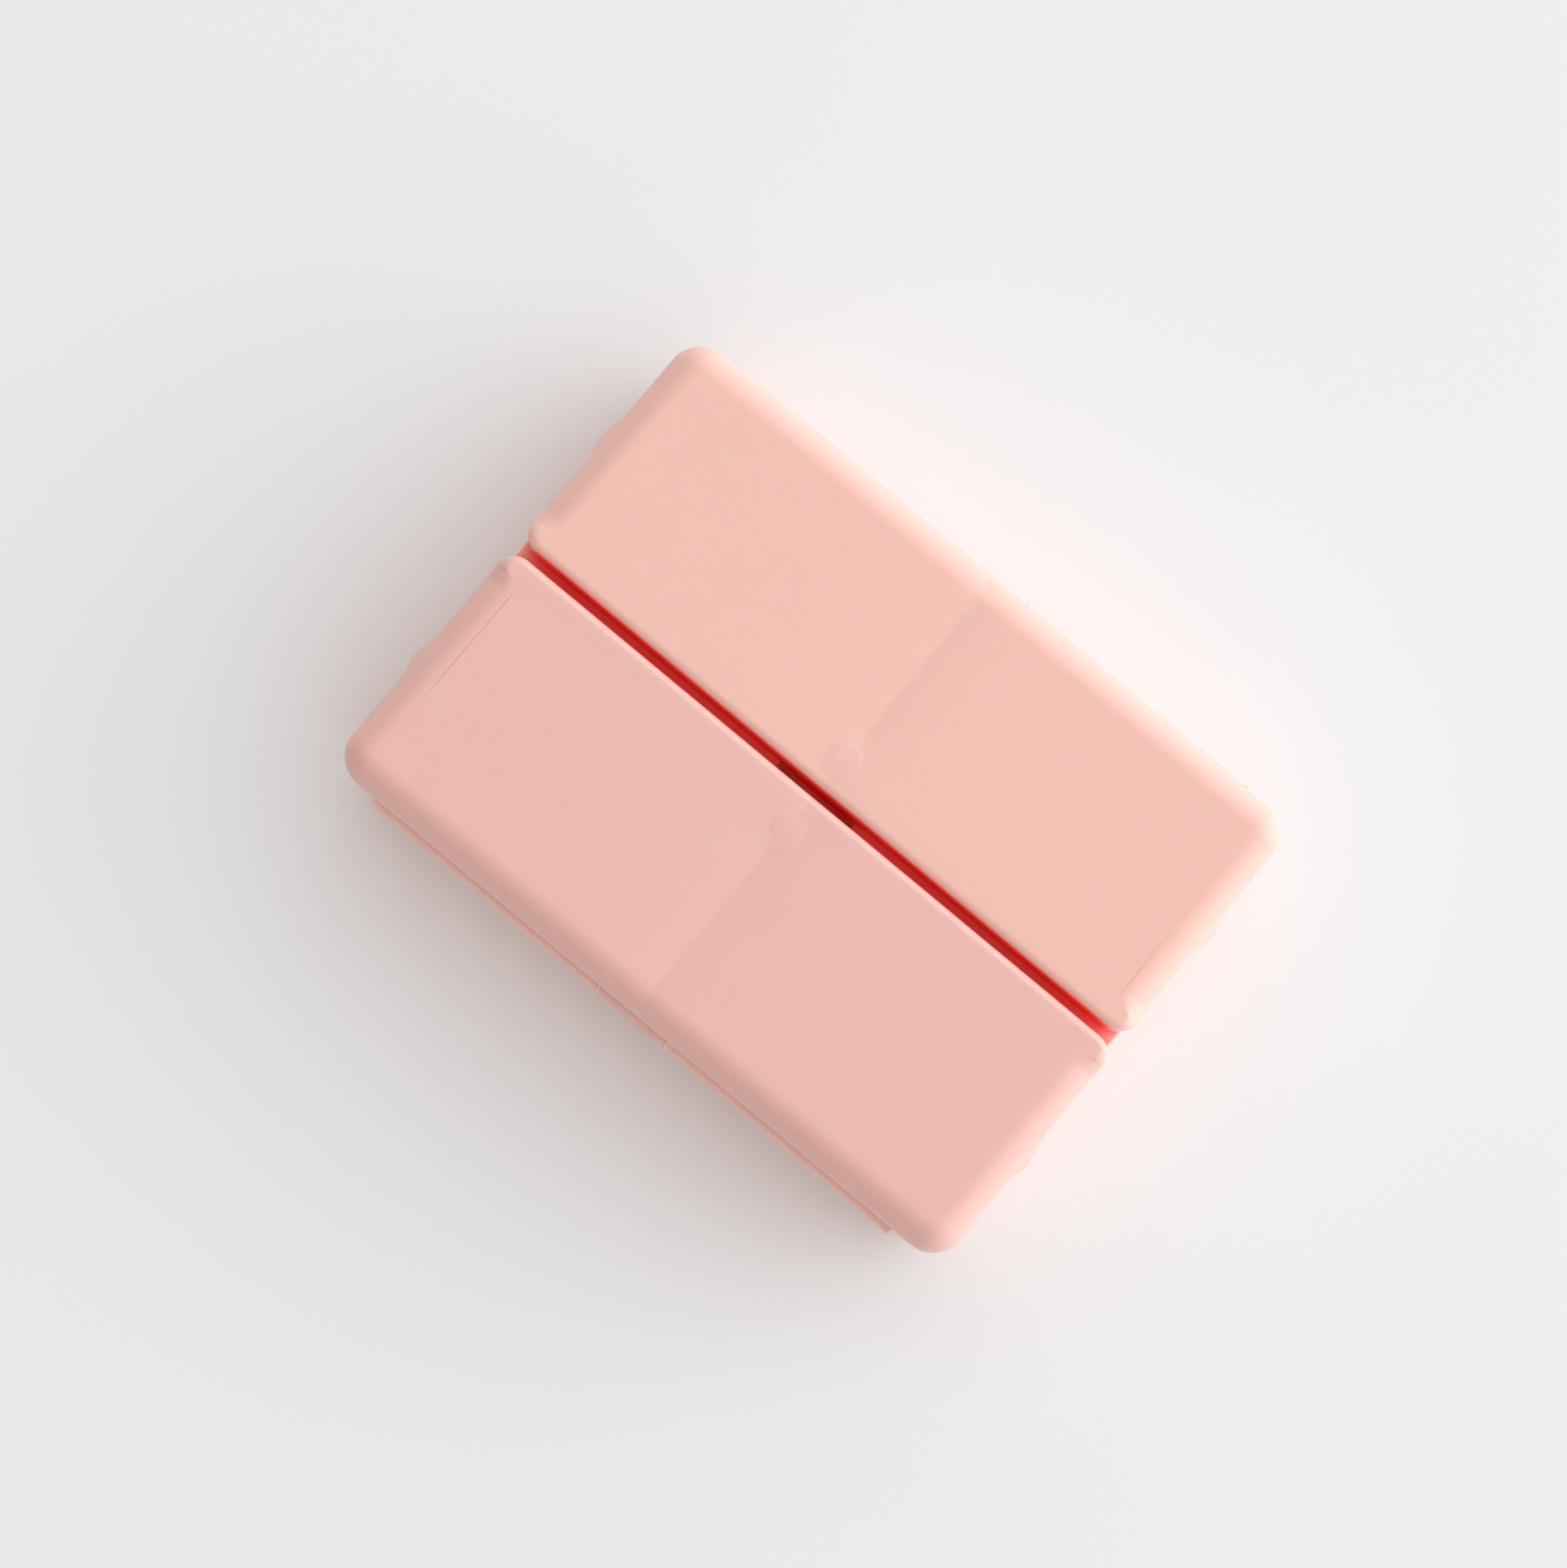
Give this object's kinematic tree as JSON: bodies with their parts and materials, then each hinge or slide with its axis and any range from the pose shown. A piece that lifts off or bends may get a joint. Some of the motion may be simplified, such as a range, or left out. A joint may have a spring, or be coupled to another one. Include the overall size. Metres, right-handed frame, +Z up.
{
  "type": "soap loaf mould",
  "caption": "Small pink moulded box for casting soap or wax bars: lined bays with dividers under two magnet-held lids hinged on its long sides.",
  "frame": {"origin": "middle of the footprint, at the underside of the feet", "axes": "+X along the box and both lids, +Y from the near lid to the far lid, +Z up"},
  "size_m": [0.0968, 0.0706, 0.022],
  "materials": {
    "pink_plastic": "fine satin texture, slightly translucent",
    "pink_silicone": "matte silicone",
    "white_silicone": "matte silicone",
    "nickel": "bright nickel plate",
    "steel_wire": "drawn wire",
    "clear_rubber": "satin, milky clear"
  },
  "bodies": {
    "box": {"box_shell": "pink_plastic", "near_liner": "pink_silicone", "far_liner": "pink_silicone", "near_divider": "white_silicone", "far_divider": "white_silicone", "near_box_magnet": "nickel", "far_box_magnet": "nickel", "near_magnet_cap": "pink_plastic", "far_magnet_cap": "pink_plastic", "near_hinge_pin": "steel_wire", "far_hinge_pin": "steel_wire", "near_left_foot": "clear_rubber", "near_right_foot": "clear_rubber", "far_left_foot": "clear_rubber", "far_right_foot": "clear_rubber"},
    "near_lid": {"near_lid_shell": "pink_plastic", "near_lid_pad": "white_silicone", "near_lid_magnet": "nickel"},
    "far_lid": {"far_lid_shell": "pink_plastic", "far_lid_pad": "white_silicone", "far_lid_magnet": "nickel"}
  },
  "joints": [
    {"name": "near_lid_hinge", "type": "hinge", "parent": "box", "child": "near_lid", "pos_m": [0, -0.0337, 0.01545], "axis": [1, 0, 0], "range_deg": [0, 110]},
    {"name": "far_lid_hinge", "type": "hinge", "parent": "box", "child": "far_lid", "pos_m": [0, 0.0337, 0.01545], "axis": [-1, 0, 0], "range_deg": [0, 110]}
  ]
}
